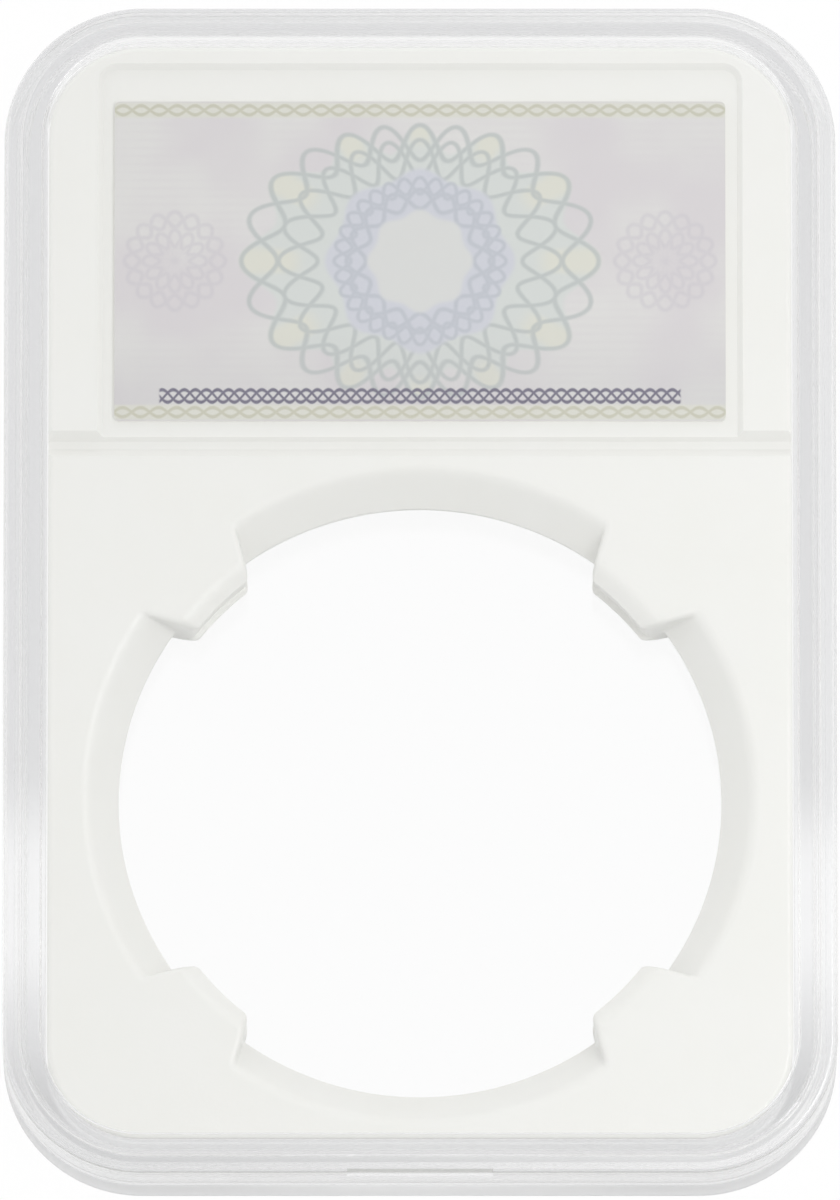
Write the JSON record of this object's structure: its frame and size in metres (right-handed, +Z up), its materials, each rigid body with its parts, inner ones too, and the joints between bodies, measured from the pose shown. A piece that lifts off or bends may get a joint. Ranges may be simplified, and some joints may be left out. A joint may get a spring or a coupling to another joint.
{
  "type": "coin holder",
  "caption": "Flat clear plastic coin case whose halves press together round a white insert, with prongs that grip a coin by its edge and a printed label card above it.",
  "frame": {"origin": "centre of the case's outline on the surface that its foot ring rests on", "axes": "+X across the case, +Y along it towards the label end, +Z up out of the front window"},
  "size_m": [0.06, 0.086, 0.0095],
  "materials": {
    "clear_rear": "clear polished acrylic",
    "clear_front": "clear polished acrylic",
    "white_insert": "white satin moulded plastic",
    "printed_card": "matt card with a pale lathe-work print"
  },
  "bodies": {
    "rear": {"rear_shell": "clear_rear"},
    "front": {"front_shell": "clear_front"},
    "insert": {"coin_insert": "white_insert"},
    "label": {"label_card": "printed_card"}
  },
  "joints": [
    {"name": "front_lift", "type": "slide", "parent": "rear", "child": "front", "axis": [0, 0, 1], "range_m": [0, 0.04]},
    {"name": "insert_lift", "type": "slide", "parent": "rear", "child": "insert", "axis": [0, 0, 1], "range_m": [0, 0.016]},
    {"name": "label_lift", "type": "slide", "parent": "insert", "child": "label", "axis": [0, 0, 1], "range_m": [0, 0.012]}
  ],
  "couplings": [
    {"joint": "insert_lift", "follows": "front_lift", "ratio": 0.4},
    {"joint": "label_lift", "follows": "front_lift", "ratio": 0.3}
  ]
}
